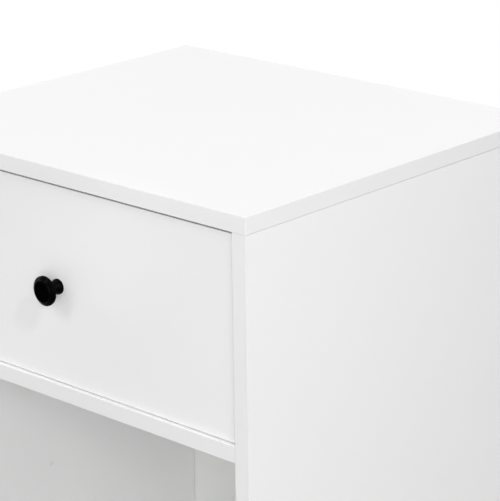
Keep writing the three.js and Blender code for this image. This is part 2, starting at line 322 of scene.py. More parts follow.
side_box = {hand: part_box(f"{side}_side") for side, hand in sides}
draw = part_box("top_board")[0].z - side_box[1][1].z - seam
inner_face = side_box[1][0].x
shelf_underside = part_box("drawer_shelf")[0].z
cam_bore = 15 * mm
cam_bore_depth = 12.5 * mm
cam_inset = 24 * mm
pin_hole = 5 * mm
pin_hole_depth = 9 * mm
pin_hole_place = (177 * mm, 182 * mm)


def pin_hole_mouth(hand):
    """The mouth of a side's pin hole, set back from its front edge and down from the shelf."""
    back, down = pin_hole_place
    return Vector((hand * inner_face, side_box[hand][0].y + back, shelf_underside - down))


for side, hand in sides:
    spaces = back_groove(
        bmesh.new(), hand * (inner_face - overrun), hand * (inner_face + groove_depth),
        panel_floor, side_box[hand][1].z + overrun,
    )
    bore_into(spaces, pin_hole_mouth(hand), (1, 0, 0), pin_hole, pin_hole_depth)
    for row in rows:
        low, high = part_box(f"top_cam_lock_{side}_{row}")
        mouth = (hand * inner_face, (low.y + high.y) / 2, side_box[hand][1].z - cam_inset)
        bore_into(spaces, mouth, (1, 0, 0), cam_bore, cam_bore_depth)
    panel = board(
        f"{side}_side", X, {(Y, 1), (Z, -1)}, "cabinet",
        tight={(Z, 1)}, radius=side_band_radius, spaces=spaces,
    )
    # The joint under the top is tight at the front face only. It opens behind it, and a little more
    # towards the rear.
    low, high = side_box[hand]
    for vertex in panel.data.vertices:
        if vertex.co.z > high.z - overrun:
            behind = vertex.co.y - low.y
            if behind < joint_lip:
                vertex.co.z = high.z + draw
            else:
                share = behind / (high.y - low.y)
                vertex.co.z -= joint_front + (joint_rear - joint_front) * share

# Plugs in the two pin holes. Small white mouldings, pressed in nearly flush with the face, because
# the niche has no loose shelf.
plug_sunk = 0.1 * mm
plug_dome = 0.08 * mm
plug_depth = 4 * mm
plug_play = 0.05 * mm
plug_edge, plug_crown = 0.1 * mm, 1 * mm
plug_crown_at = 0.6
plug_facets = 48
smooth_angle = math.radians(35)


def put(form, place):
    """A closed form, put in its place with its faces turned outward."""
    bmesh.ops.transform(form, matrix=place, verts=form.verts)
    bmesh.ops.recalc_face_normals(form, faces=form.faces)
    return form


def turned(points, facets, place):
    """A closed mesh turned about Z from (radius, height) points, then put in its place."""
    form = bmesh.new()
    rings = []
    for radius, height in points:
        count = facets if radius > 0 else 1
        steps = [2 * math.pi * step / facets for step in range(count)]
        rings.append([
            form.verts.new((radius * math.cos(a), radius * math.sin(a), height)) for a in steps
        ])
    for lower, upper in zip(rings, rings[1:]):
        for step in range(facets):
            corners = [ring[k % len(ring)] for ring, k in (
                (lower, step), (lower, step + 1), (upper, step + 1), (upper, step),
            )]
            corners = list(dict.fromkeys(corners))
            if len(corners) > 2:
                form.faces.new(corners)
    return put(form, place)


def rounded(corners, steps=5):
    """Points of a path through corners (x, y, radius), each corner rounded by its radius."""
    path = []
    for index, (x, y, radius) in enumerate(corners):
        here = Vector((x, y))
        if not radius:
            path.append(here)
            continue
        before = (Vector(corners[index - 1][:2]) - here).normalized()
        after = (Vector(corners[(index + 1) % len(corners)][:2]) - here).normalized()
        half = before.angle(after) / 2
        run = radius / math.tan(half)
        centre = here + (before + after).normalized() * radius / math.sin(half)
        start = here + before * run - centre
        turn = (here + after * run - centre).angle_signed(start)
        for step in range(steps + 1):
            bend = Matrix.Rotation(turn * step / steps, 2)
            path.append(centre + bend @ start)
    return path


def shade(piece):
    """Smooth shading, with an edge kept sharp where the surface turns."""
    piece.data.shade_smooth()
    piece.data.set_sharp_from_angle(angle=smooth_angle)
    return piece


def join_forms(forms):
    """One form that holds all of these."""
    whole = bmesh.new()
    for form in forms:
        whole.from_mesh(mesh_of("part", form))
    return whole


moulded_white = finish(
    "White moulded plastic", (0.84, 0.84, 0.83), (0.82, 0.82, 0.81), 0.44, 0.05,
    grain=0.3 * mm, wave=6 * mm, share=0.5, bump=0.01 * mm,
)
plug_radius, plug_top = pin_hole / 2 - plug_play, plug_dome - plug_sunk
plug_points = rounded([
    (0, -plug_depth, 0), (plug_radius, -plug_depth, 0), (plug_radius, -plug_sunk, plug_edge),
    (plug_radius * plug_crown_at, plug_top, plug_crown), (0, plug_top, 0),
])
plugs = join_forms(
    turned(plug_points, plug_facets, facing(pin_hole_mouth(hand), (-hand, 0, 0)))
    for _, hand in sides
)
plug_piece = shade(keep("pin_hole_plugs", mesh_of("pin_hole_plugs", plugs), moulded_white))
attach(plug_piece, "cabinet")

# Glides. Four plastic pads under the ends of the sides, each moulded in one with the spigot that
# is pushed up into the board. They keep the raw lower edge off the floor.
glide_plastic = finish(
    "Dark moulded plastic", (0.03, 0.03, 0.031), (0.042, 0.042, 0.043), 0.55, 0.08,
    grain=0.35 * mm, wave=5 * mm, share=0.7, bump=0.03 * mm,
)
FLOAT, COUNT, SHAPE = "NodeSocketFloat", "NodeSocketInt", "NodeSocketGeometry"


def shape(tree, kind, inputs=None, **settings):
    """The first output of a new geometry node."""
    return add(tree, f"GeometryNode{kind}", inputs, **settings).outputs[0]


# Sets a part out on points, its Z along the attribute out and its X along the attribute along.
set_out, given, end = new_group(
    "Set out on points", "GeometryNodeTree",
    [("Points", SHAPE, None), ("Part", SHAPE, None)], [("Parts", SHAPE)],
)
turn = None
for attribute, axis, pivot in (("out", "Z", "AUTO"), ("along", "X", "Z")):
    aim = shape(set_out, "InputNamedAttribute", {"Name": attribute}, data_type="FLOAT_VECTOR")
    known = {"Vector": aim} if turn is None else {"Vector": aim, "Rotation": turn}
    turn = add(
        set_out, "FunctionNodeAlignRotationToVector", known, axis=axis, pivot_axis=pivot,
    ).outputs[0]
placed = shape(set_out, "InstanceOnPoints", {
    "Points": given["Points"], "Instance": given["Part"], "Rotation": turn,
})
set_out.links.new(placed, end.inputs["Parts"])


def part_tree(name, sizes):
    """A tree for a part that is set out on points, with a named input for each of its sizes."""
    kinds = [(label, FLOAT, value) for label, value in sizes.items()]
    return new_group(
        name, "GeometryNodeTree",
        [("Points", SHAPE, None), *kinds, ("Finish", "NodeSocketMaterial", None)],
        [("Mesh", SHAPE)],
    )


def end_tree(given, end, made):
    """Ends a tree with what it made, which is made real and takes the finish."""
    tree = end.id_data
    real = shape(tree, "RealizeInstances", {"Geometry": made})
    done = shape(tree, "SetMaterial", {"Geometry": real, "Material": given["Finish"]})
    tree.links.new(done, end.inputs["Mesh"])


def end_part_tree(given, end, shapes):
    """Joins the shapes of one part, sets it out, and makes it real with its finish."""
    part = shape(end.id_data, "JoinGeometry", {"Geometry": shapes})
    inputs = {"Points": given["Points"], "Part": part}
    end_tree(given, end, shape(end.id_data, "Group", inputs, node_tree=set_out))


def combine(tree, x=0.0, y=0.0, z=0.0):
    """A vector from three values."""
    return add(tree, "ShaderNodeCombineXYZ", {"X": x, "Y": y, "Z": z}).outputs[0]


def moved(part, x=0.0, z=0.0, turn=(0, 0, 0)):
    """A part of a tree, turned about the origin and then moved."""
    tree = part.id_data
    return shape(tree, "Transform", {
        "Geometry": part, "Translation": combine(tree, x, z=z), "Rotation": turn,
    })


def rod_in(diameter, length, from_z, facets=32):
    """A rod along Z in a tree, which starts at from_z and runs its length upwards."""
    rod = shape(diameter.id_data, "MeshCylinder", {
        "Vertices": facets, "Radius": times(diameter, 0.5), "Depth": length,
    })
    return moved(rod, z=times(length, 0.5, from_z))


def bar_in(x, y, z):
    """A bar of these sizes in a tree, with its middle at the origin."""
    return shape(x.id_data, "MeshCube", {"Size": combine(x.id_data, x, y, z)})


glide_tree, given, end = part_tree("Glides", {
    "Pad Width": 13 * mm, "Pad Length": 30 * mm, "Pad Height": 3.8 * mm, "Corner": 2.5 * mm,
    "Taper": 0.93, "Spigot Diameter": 6 * mm, "Spigot Length": 12 * mm,
    "Rib Height": 0.35 * mm, "Rib Width": 1.2 * mm,
})
outline = shape(glide_tree, "CurvePrimitiveQuadrilateral", {
    "Width": given["Pad Width"], "Height": given["Pad Length"],
})
outline = shape(glide_tree, "FilletCurve", {
    "Curve": outline, "Radius": given["Corner"], "Count": 6,
}, mode="POLY")
sheet = shape(glide_tree, "FillCurve", {"Curve": outline}, mode="NGONS")
solid = add(glide_tree, "GeometryNodeExtrudeMesh", {
    "Mesh": sheet, "Offset": combine(glide_tree, z=-1.0), "Offset Scale": given["Pad Height"],
})
tapered = shape(glide_tree, "ScaleElements", {
    "Geometry": solid.outputs["Mesh"], "Selection": solid.outputs["Top"], "Scale": given["Taper"],
})
closed = shape(glide_tree, "JoinGeometry", {"Geometry": [tapered, sheet]})
pad = shape(glide_tree, "MergeByDistance", {"Geometry": closed, "Distance": 0.001 * mm})
root = times(given["Pad Height"], -0.5)
reach = math_of("SUBTRACT", given["Spigot Length"], root)
spigot = rod_in(given["Spigot Diameter"], reach, root)
fin_share, fin_centre = 0.8, 0.45
fin_length, fin_middle = [
    times(given["Spigot Length"], share) for share in (fin_share, fin_centre)
]
fin_width = times(given["Rib Height"], 2, given["Spigot Diameter"])
fin = bar_in(fin_width, given["Rib Width"], fin_length)
fins = [moved(fin, z=fin_middle, turn=(0, 0, math.radians(angle))) for angle in (45, 135)]
end_part_tree(given, end, [pad, spigot, *fins])


def use_tree(piece, tree, values):
    """Runs a tree on a piece with these values, and keeps what it makes."""
    maker = piece.modifiers.new(tree.name, "NODES")
    maker.node_group = tree
    for socket in tree.interface.items_tree:
        if socket.item_type == "SOCKET" and socket.in_out == "INPUT" and socket.name in values:
            maker[socket.identifier] = values[socket.name]
    apply_modifiers(piece)


def set_parts(name, tree, places, sizes, finish_used):
    """One mesh of a tree's part at every place, given as (position, out, along)."""
    points = bpy.data.meshes.new(name)
    points.from_pydata([position for position, _, _ in places], [], [])
    for index, label in ((1, "out"), (2, "along")):
        layer = points.attributes.new(label, "FLOAT_VECTOR", "POINT")
        layer.data.foreach_set("vector", [value for place in places for value in place[index]])
    piece = keep(name, points)
    use_tree(piece, tree, {**sizes, "Finish": finish_used})
    form = bmesh.new()
    form.from_mesh(piece.data)
    bmesh.ops.recalc_face_normals(form, faces=form.faces)
    form.to_mesh(piece.data)
    form.free()
    return shade(piece)


glide_nodes = [f"glide_{side}_{row}" for side, _ in sides for row in rows]
glide_pad = 3.8 * mm
glide_places = []
for node in glide_nodes:
    low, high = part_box(node)
    glide_places.append(((
        (low.x + high.x) / 2, (low.y + high.y) / 2, low.z + glide_pad,
    ), (0, 0, 1), (1, 0, 0)))
glides = set_parts("glides", glide_tree, glide_places, {"Pad Height": glide_pad}, glide_plastic)
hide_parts(*glide_nodes)
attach(glides, "cabinet")

# Cabinet runners. A bent steel channel on each side of each drawer opening, coated white. It is
# screwed to the side through its web, has a pressed stop near its front, and carries a roller on a
# riveted pin.
powder_coat = finish(
    "White powder coat", (0.8, 0.8, 0.78), (0.78, 0.78, 0.76), 0.38, 0.04,
    grain=0.5 * mm, wave=2.5 * mm, share=0.35, bump=0.03 * mm, Metallic=0.0, Coat_Weight=0.15,
)
plated_zinc = finish(
    "Bright zinc plating", (0.66, 0.67, 0.69), (0.55, 0.56, 0.58), 0.3, 0.08,
    grain=0.2 * mm, wave=3 * mm, share=0.4, bump=0.01 * mm, Metallic=1.0,
)
coat_slot, pin_slot = range(2)
gauge = 1.2 * mm
runner_bend = 1.6 * mm
slot_length = 12 * mm
slot_width = 5 * mm
slot_round = 0.99
screw_spots = (37 * mm, 133 * mm, 229 * mm)
slot_spots = (62 * mm, 158 * mm, 254 * mm)
stop_from_front = 65 * mm
stop_half, stop_crown, stop_ease = 2 * mm, 1.4 * mm, 0.7 * mm
stop_height = 3 * mm
tab_corner = 1 * mm
collar_radius, collar = 4 * mm, 1.2 * mm
pin_radius = 2.4 * mm
pin_head, head_side = 0.8 * mm, 0.7
pin_ease, pin_edge = 0.3 * mm, 0.2 * mm
roller_play = 0.4 * mm
levels = ("upper", "lower")


def prism(outline, start, end, place):
    """A closed form of an outline, run from start to end along its own Z and put in its place."""
    form = bmesh.new()
    rings = [[form.verts.new((x, y, z)) for x, y in outline] for z in (start, end)]
    first, last = rings
    form.faces.new(first)
    form.faces.new(last)
    for index in range(len(outline)):
        form.faces.new([first[index - 1], first[index], last[index], last[index - 1]])
    return put(form, place)


def sheet_outline(path, thickness):
    """The outline of bent sheet metal whose middle follows a path."""
    sides = ([], [])
    for index, here in enumerate(path):
        before = path[max(index - 1, 0)]
        after = path[min(index + 1, len(path) - 1)]
        along = (after - before).normalized()
        out = Vector((-along.y, along.x)) * thickness / 2
        sides[0].append(here + out)
        sides[1].append(here - out)
    return sides[0] + sides[1][::-1]


def across_runner(hand, edge):
    """Turns an outline's X into the way from a side to the drawer, and its Y into height."""
    return Matrix(((-hand, 0, 0, hand * edge), (0, 0, 1, 0), (0, 1, 0, 0), (0, 0, 0, 1)))


def through_web(hand, edge, y, z=0):
    """Turns an outline's X into the way to the rear, its Y into height and its Z into the web."""
    return Matrix(((0, 0, -hand, hand * edge), (1, 0, 0, y), (0, 1, 0, z), (0, 0, 0, 1)))


def runner_facts(node, hand):
    """The corners of a runner's CAD node, how far out its edge is, and how wide it is."""
    low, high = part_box(node)
    return low, high, max(hand * low.x, hand * high.x), high.x - low.x


def roller_facts(node):
    """The middle, the width and the diameter of a roller's CAD node."""
    low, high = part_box(node)
    return (low + high) / 2, high.x - low.x, high.z - low.z


def rivet(middle, width, towards):
    """A pin for a roller: a collar behind it, a shank through it and a flattened head."""
    far = collar + width + roller_play
    points = rounded([
        (0, -gauge / 2, 0), (collar_radius, -gauge / 2, 0), (collar_radius, collar, pin_ease),
        (pin_radius, collar, 0), (pin_radius, far, 0), (collar_radius, far, pin_edge),
        (collar_radius, far + pin_head * head_side, pin_ease),
        (collar_radius / 2, far + pin_head, pin_ease), (0, far + pin_head, 0),
    ])
    root = middle - Vector((towards, 0, 0)) * (width / 2 + roller_play / 2 + collar)
    form = turned(points, bore_facets, facing(root, (towards, 0, 0)))
    for face in form.faces:
        face.material_index = pin_slot
    return form


def runner_piece(node, forms, edge, hand, height, front, body):
    """A runner that stands for a CAD node, with long rounded slots through its web."""
    name = "bent_" + node
    piece = keep(name, mesh_of(name, join_forms(forms)), powder_coat, plated_zinc)
    half, end = slot_width / 2, slot_length / 2
    corners = [(-end, -half), (end, -half), (end, half), (-end, half)]
    outline = rounded([(*corner, half * slot_round) for corner in corners])
    cut(piece, join_forms(
        prism(outline, -gauge, 2 * gauge, through_web(hand, edge, front + spot, height))
        for spot in slot_spots
    ), slot=coat_slot)
    shade(piece)
    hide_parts(node)
    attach(piece, body)


runner_screws = []
for level in levels:
    for side, hand in sides:
        node = f"{level}_{side}_cabinet_runner"
        low, high, edge, reach = runner_facts(node, hand)
        middle, width, _ = roller_facts(f"{level}_{side}_cabinet_roller")
        bend = rounded([
            (reach, low.z + gauge / 2, 0), (gauge / 2, low.z + gauge / 2, runner_bend),
            (gauge / 2, high.z - gauge / 2, runner_bend), (reach, high.z - gauge / 2, 0),
        ])
        place = across_runner(hand, edge)
        channel = prism(sheet_outline(bend, gauge), low.y, high.y, place)
        tab = [(gauge / 2, low.z), (reach, low.z), (reach, high.z), (gauge / 2, high.z)]
        tab = rounded([(*corner, tab_corner) for corner in tab])
        rear = prism(tab, high.y - gauge, high.y, place)
        rise, foot = low.z + gauge + stop_height, low.z + gauge / 2
        hump = rounded([
            (-stop_half, foot, 0), (-stop_crown, rise, stop_ease), (stop_crown, rise, stop_ease),
            (stop_half, foot, 0),
        ])
        stop = prism(hump, gauge / 2, reach, through_web(hand, edge, low.y + stop_from_front))
        forms = [channel, rear, stop, rivet(middle, width, -hand)]
        runner_piece(node, forms, edge, hand, middle.z, low.y, "cabinet")
        runner_screws += [
            ((hand * (edge - gauge), low.y + spot, middle.z), (-hand, 0, 0), (0, 0, 1))
            for spot in screw_spots
        ]

# Screws. Pan heads with a cross slot, drawn from one tree for the runners, the knobs and the
# drawer boxes. On a runner the head is pressed nearly flat, so that the rollers pass it.
screw_tree, given, end = part_tree("Screws", {
    "Head Diameter": 7 * mm, "Head Height": 0.7 * mm, "Slot Length": 4.2 * mm,
    "Slot Width": 0.9 * mm, "Slot Depth": 0.5 * mm, "Shank Diameter": 3.5 * mm,
    "Shank Length": 10 * mm,
})


def cross_in(given, lift=0.0):
    """The two bars of a cross slot in a tree, from the sizes among its inputs."""
    length, width = given["Slot Length"], given["Slot Width"]
    deep = times(given["Slot Depth"], 2)
    plans = ((length, width), (width, length))
    return [moved(bar_in(*plan, deep), z=lift) for plan in plans]


def less_in(whole, tools):
    """A shape in a tree, with other shapes cut out of it."""
    return shape(whole.id_data, "MeshBoolean", {
        "Mesh 1": whole, "Mesh 2": tools, "Self Intersection": True,
    }, operation="DIFFERENCE", solver="EXACT")


radius = times(given["Head Diameter"], 0.5)
ball = shape(screw_tree, "MeshUVSphere", {"Segments": 32, "Rings": 18, "Radius": radius})
spot = add(screw_tree, "ShaderNodeSeparateXYZ", {
    "Vector": shape(screw_tree, "InputPosition"),
}).outputs
flat = math_of("DIVIDE", given["Head Height"], radius)
lift = math_of("MAXIMUM", times(spot["Z"], flat), 0)
dome = shape(screw_tree, "SetPosition", {
    "Geometry": ball, "Position": combine(screw_tree, spot["X"], spot["Y"], lift),
})
head = less_in(dome, cross_in(given, given["Head Height"]))
below = times(given["Shank Length"], -1)
shank = rod_in(given["Shank Diameter"], given["Shank Length"], below, facets=16)
end_part_tree(given, end, [head, shank])
screws = set_parts("cabinet_runner_screws", screw_tree, runner_screws, {}, plated_zinc)
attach(screws, "cabinet")

# Rollers. Moulded nylon wheels, one at the front of each channel and one at the rear of each
# drawer rail. Each has a hub and a rim, joined by a thinner web with ribs on both faces.
nylon = finish(
    "Moulded nylon", (0.78, 0.78, 0.74), (0.74, 0.73, 0.68), 0.46, 0.06,
    grain=0.3 * mm, wave=4 * mm, share=0.5, bump=0.015 * mm,
)
roller_bore = 2.7 * mm
hub_radius = 4.4 * mm
rim_inside = 7.3 * mm
rim_round = 0.6 * mm
edge_round = 0.2 * mm
web_sunk = 1.3 * mm
quarter_turn = (0, math.radians(90), 0)

rib_tree, given, end = new_group("Roller ribs", "GeometryNodeTree", [
    ("Mesh", SHAPE, None), ("Centre", "NodeSocketVector", None), ("Rib Count", COUNT, 6),
    ("Middle Radius", FLOAT, 5.85 * mm), ("Rib Length", FLOAT, 3.4 * mm),
    ("Rib Width", FLOAT, 0.9 * mm), ("Rib Depth", FLOAT, 5.3 * mm),
    ("Finish", "NodeSocketMaterial", None),
], [("Mesh", SHAPE)])
ring = shape(rib_tree, "MeshCircle", {
    "Vertices": given["Rib Count"], "Radius": given["Middle Radius"],
})
outwards = add(rib_tree, "FunctionNodeAlignRotationToVector", {
    "Vector": shape(rib_tree, "InputPosition"),
}, axis="X", pivot_axis="Z").outputs[0]
rib = bar_in(given["Rib Length"], given["Rib Width"], given["Rib Depth"])
spokes = shape(rib_tree, "InstanceOnPoints", {
    "Points": ring, "Instance": rib, "Rotation": outwards,
})
laid = shape(rib_tree, "Transform", {
    "Geometry": spokes, "Translation": given["Centre"], "Rotation": quarter_turn,
})
wheel = shape(rib_tree, "JoinGeometry", {"Geometry": [laid, given["Mesh"]]})
end_tree(given, end, wheel)


def roller(node):
    """The roller that stands for a CAD node and turns with the body of the same name."""
    middle, width, diameter = roller_facts(node)
    half = width / 2
    web = half - web_sunk
    one_side = [
        (roller_bore, half, 0), (hub_radius, half, edge_round), (hub_radius, web, edge_round),
        (rim_inside, web, edge_round), (rim_inside, half, edge_round),
        (diameter / 2, half, rim_round),
    ]
    other_side = [(radius, -across, ease) for radius, across, ease in one_side]
    points = rounded([*other_side, *one_side[::-1], other_side[0]], steps=3)
    form = turned(points, bore_facets, facing(middle, (1, 0, 0)))
    bmesh.ops.remove_doubles(form, verts=form.verts, dist=0.0001 * mm)
    bmesh.ops.recalc_face_normals(form, faces=form.faces)
    piece = keep("moulded_" + node, mesh_of(node, form), nylon)
    use_tree(piece, rib_tree, {"Centre": middle, "Rib Depth": width - web_sunk, "Finish": nylon})
    shade(piece)
    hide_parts(node)
    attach(piece, node)


for level in levels:
    for side, _ in sides:
        for carrier in ("cabinet", "drawer"):
            roller(f"{level}_{side}_{carrier}_roller")

# Cam locks. Sixteen die-cast cams, each in a blind bore, turned with a screwdriver until it grips
# the head of a bolt that is screwed into the next board. The notch in its rim points at the bolt.
cast_zinc, tree, shader, place = new_material("Die-cast zinc")
spangle = times(cells(place, 900)["Color"], 0.4)
cloud = noise(place, 260, 4)
blotch = times(cloud, 0.6, spangle)
greys = colour_mix(tree, blotch, (0.46, 0.47, 0.49), (0.64, 0.65, 0.66))
rough = times(cloud, 0.25, 0.26)
shader.inputs["Metallic"].default_value = 1
dress(shader, greys, rough, blotch, 0.04 * mm)

board_half = 7.5 * mm
cam_radius = 7.2 * mm
cam_tree, given, end = part_tree("Cam locks", {
    "Cam Diameter": 2 * cam_radius, "Cam Depth": 12.1 * mm, "Rim": 1.3 * mm, "Face Sunk": 0.7 * mm,
    "Slot Length": 8 * mm, "Slot Width": 1.7 * mm, "Slot Depth": 3.5 * mm, "Notch": 1.8 * mm,
    "Below Face": 0.1 * mm, "Bolt Diameter": 6.4 * mm, "Bolt Length": 23.5 * mm,
    "Thread Diameter": 5 * mm, "Thread Length": 34.5 * mm, "Bolt Down": board_half,
})
foot, face_z = [
    times(math_of("ADD", given[depth], given["Below Face"]), -1)
    for depth in ("Cam Depth", "Face Sunk")
]
drum = rod_in(given["Cam Diameter"], given["Cam Depth"], foot, facets=48)
dish_width = times(given["Rim"], -2, given["Cam Diameter"])
dish = rod_in(dish_width, given["Cam Depth"], face_z, facets=48)
radius = times(given["Cam Diameter"], 0.5)
notch = bar_in(given["Notch"], given["Notch"], given["Face Sunk"])
tools = [dish, *cross_in(given), moved(notch, x=radius)]
bolt_z = times(given["Bolt Down"], -1)
rods = []
for kind in ("Bolt", "Thread"):
    rod = rod_in(given[f"{kind} Diameter"], given[f"{kind} Length"], 0.0, facets=24)
    rods.append(moved(rod, z=bolt_z, turn=quarter_turn))
end_part_tree(given, end, [less_in(drum, tools), *rods])

cam_places = {}
for side, hand in sides:
    for row in rows:
        node = f"top_cam_lock_{side}_{row}"
        low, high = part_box(node)
        spot = (hand * inner_face, (low.y + high.y) / 2, low.z + cam_radius)
        cam_places[node] = (spot, (-hand, 0, 0), (0, 0, 1))
        for holder in ("drawer_shelf", "niche_floor", "bottom_board"):
            node = f"{holder}_cam_lock_{side}_{row}"
            low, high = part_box(node)
            x = hand * (min(hand * low.x, hand * high.x) + cam_radius)
            spot = (x, (low.y + high.y) / 2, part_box(holder)[0].z)
            cam_places[node] = (spot, (0, 0, -1), (hand, 0, 0))
cam_locks = set_parts("cam_locks", cam_tree, cam_places.values(), {}, cast_zinc)
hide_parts(*cam_places)
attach(cam_locks, "cabinet")


def cam_spaces(holder):
    """A form of the four bores for the cams in the underside of a board."""
    form = bmesh.new()
    for node, (position, out, _) in cam_places.items():
        if node.startswith(holder):
            bore_into(form, position, out, cam_bore, cam_bore_depth)
    return form


# Bottom board and plinth. The bottom board runs the full depth between the sides and is grooved
# for the back panel. The plinth board stands under it, set back from the front.
bottom_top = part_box("bottom_board")[1].z
spaces = back_groove(
    cam_spaces("bottom_board"), -inner_face, inner_face, panel_floor, bottom_top + overrun,
)
both_ends = {(X, -1), (X, 1)}
board("bottom_board", Z, {(Y, 1), *both_ends}, "cabinet", tight=both_ends, spaces=spaces)
board("plinth_board", Y, {(Z, -1), (Z, 1), *both_ends}, "cabinet", tight={(Z, 1), *both_ends})

# Drawer shelf and niche floor. Two equal boards between the sides, with a band on the front edge
# only, drawn tight to the sides by the cams in their undersides.
for node in ("drawer_shelf", "niche_floor"):
    board(node, Z, {(Y, 1), *both_ends}, "cabinet", tight=both_ends, spaces=cam_spaces(node))

# Back panel. Thin hardboard, lacquered white on the side that shows in the niche and left brown
# behind, with the imprint of the press screen. It slides down in the grooves and is nailed to the
# edges of the two shelves.
lacquer = finish(
    "White lacquer on hardboard", (0.885, 0.885, 0.88), (0.872, 0.872, 0.865), 0.5, 0.05,
    grain=0.6 * mm, wave=10 * mm, share=0.6, bump=0.012 * mm,
)
screen_pitch = 1.3 * mm
hardboard, tree, shader, place = new_material("Brown hardboard")
ways = add(tree, "ShaderNodeSeparateXYZ", {"Vector": place}).outputs
upright = math_of("ADD", ways["Y"], ways["Z"])
threads = []
for way in (ways["X"], upright):
    wave = math_of("SINE", times(way, math.pi / screen_pitch))
    threads.append(math_of("ABSOLUTE", wave))
fibres = noise(place, 420, 6, Roughness=0.65)
patches = noise(place, 14, 3)
imprint = times(times(*threads), 0.6, fibres)
fine = times(fibres, 0.6)
mottle = times(patches, 0.5, fine)
browns = colour_mix(tree, mottle, (0.17, 0.095, 0.045), (0.36, 0.225, 0.12))
rough = times(fibres, 0.2, 0.62)
dress(shader, browns, rough, imprint, 0.12 * mm)
sheet_ease = 0.2 * mm


def hardboard_sheet(node, across, white_side, body):
    """The sheet that stands for a CAD node, white on one side of its thickness."""
    form = eased_block(*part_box(node), sheet_ease)
    for face in form.faces:
        face.material_index = int(face.normal[across] * white_side <= nearly_square)
    name = "lacquered_" + node
    piece = keep(name, mesh_of(name, form), lacquer, hardboard)
    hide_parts(node)
    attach(piece, body)


hardboard_sheet("back_panel", Y, -1, "cabinet")

nail_tree, given, end = part_tree("Nails", {
    "Head Diameter": 3.6 * mm, "Head Height": 0.5 * mm, "Shank Diameter": 1.4 * mm,
    "Shank Length": 16 * mm,
})
nail_taper = 2.6
lower_radius, upper_radius = [
    math_of("DIVIDE", given["Head Diameter"], ratio) for ratio in (2, nail_taper)
]
nail_head = shape(nail_tree, "MeshCone", {
    "Vertices": 24, "Radius Bottom": lower_radius, "Radius Top": upper_radius,
    "Depth": given["Head Height"],
})
below = times(given["Shank Length"], -1)
shank = rod_in(given["Shank Diameter"], given["Shank Length"], below, facets=12)
end_part_tree(given, end, [nail_head, shank])
nail_rows = 5
nail_reach = inner_face - 30 * mm
nail_places = []
for holder in ("drawer_shelf", "niche_floor"):
    low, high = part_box(holder)
    for step in range(nail_rows):
        x = nail_reach * (2 * step / (nail_rows - 1) - 1)
        nail_places.append(((x, panel_high.y, (low.z + high.z) / 2), (0, 1, 0), (1, 0, 0)))
nails = set_parts("back_panel_nails", nail_tree, nail_places, {}, plated_zinc)
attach(nails, "cabinet")

# Top board. It lies on the two sides, flush with their outer faces, with a band on its front and
# its two ends. A groove in its underside takes the upper edge of the back panel.
top_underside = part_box("top_board")[0].z
spaces = back_groove(
    bmesh.new(), -inner_face - groove_depth, inner_face + groove_depth,
    top_underside - overrun, top_underside + groove_depth,
)
top_band_radius = 0.25 * mm
board("top_board", Z, {(Y, 1)}, "cabinet", radius=top_band_radius, spaces=spaces)

# Drawer fronts. Inset panels of the same faced board, banded on all four edges, bored through for
# the knob's screw and grooved behind for the drawer bottom.
screw_hole = 4.6 * mm
front_band_radius = 0.15 * mm
gap_closing = 0.13 * mm
for level in levels:
    low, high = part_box(f"{level}_drawer_front")
    sheet_low, sheet_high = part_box(f"{level}_drawer_bottom")
    knob_low, knob_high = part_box(f"{level}_knob")
    spaces = bmesh.new()
    block_into(
        spaces, sheet_low - Vector((groove_play,) * 3),
        (sheet_high.x + groove_play, high.y + overrun, sheet_high.z + groove_play),
    )
    knob_height = (knob_low.z + knob_high.z) / 2
    bore_into(spaces, (0, low.y, knob_height), (0, 1, 0), screw_hole, 2 * (high.y - low.y))
    front = board(
        f"{level}_drawer_front", Y, set(), f"{level}_drawer",
        radius=front_band_radius, spaces=spaces,
    )
    # The gap at the right end of a front closes a little towards the top.
    for vertex in front.data.vertices:
        if vertex.co.x > high.x - overrun:
            vertex.co.x += gap_closing * (vertex.co.z - low.z) / (high.z - low.z)

# Knobs. One black mushroom knob in the middle of each front, turned and lacquered satin: a base
# that tapers into a neck, a flared head with a rounded rim, a bevel, and a dished matt face inside
# a narrow step. The face's finish reflects almost nothing. This is painted shade: it stands in for
# dark surroundings mirrored in the face. A machine screw from inside the drawer holds it.
satin_black = finish(
    "Black satin lacquer", (0.0004, 0.0004, 0.0004), (0.0006, 0.0006, 0.0006), 0.15, 0.03,
    grain=0.35 * mm, wave=2.2 * mm, share=0.3, bump=0.003 * mm, Specular_IOR_Level=0.028,
)
# Painted shade: a copy of the black lacquer with its reflection taken out, for the dished face
# only, so that the face renders black as if it mirrored dark surroundings.
face_black_painted_shade = finish(
    "Black matt lacquer, reflection painted out", (0.0004, 0.0004, 0.0004), (0.0006, 0.0006, 0.0006), 0.6, 0.06,
    grain=0.35 * mm, wave=2.2 * mm, share=0.6, bump=0.004 * mm, Specular_IOR_Level=0.003,
)
painted_shade_slot = 1
knob_facets = 96
# Radius and height in mm, and on the rim also the radius that rounds each corner.
knob_flare = [
    (7.1, 0.0), (7.2, 0.9), (6.95, 2.2), (6.3, 3.6), (5.3, 5.3), (4.45, 7.0), (4.1, 8.8),
    (4.35, 10.6), (6.2, 12.3), (9.4, 13.4), (12.2, 14.2),
]
knob_rim = [
    (13.65, 14.75, 0.5), (13.65, 16.75, 0.5), (10.75, 18.6, 0.25), (10.3, 18.65, 0.2),
    (9.9, 19.6, 0.4),
]
knob_face = [(8.0, 19.5), (5.0, 19.3), (0, 19.2)]
knob_painted_shade_from = 19.0 * mm
knob_painted_shade_radius = 9.7 * mm


def smoothed(points, steps=4):
    """Points of a smooth curve through these."""
    ends = [points[0], *points, points[-1]]
    curve = []
    for before, here, there, after in zip(ends, ends[1:], ends[2:], ends[3:]):
        for step in range(steps):
            t = step / steps
            curve.append(tuple(0.5 * (
                2 * b + (c - a) * t + (2 * a - 5 * b + 4 * c - d) * t ** 2
                + (3 * b - a - 3 * c + d) * t ** 3
            ) for a, b, c, d in zip(before, here, there, after)))
    return curve + [tuple(points[-1])]


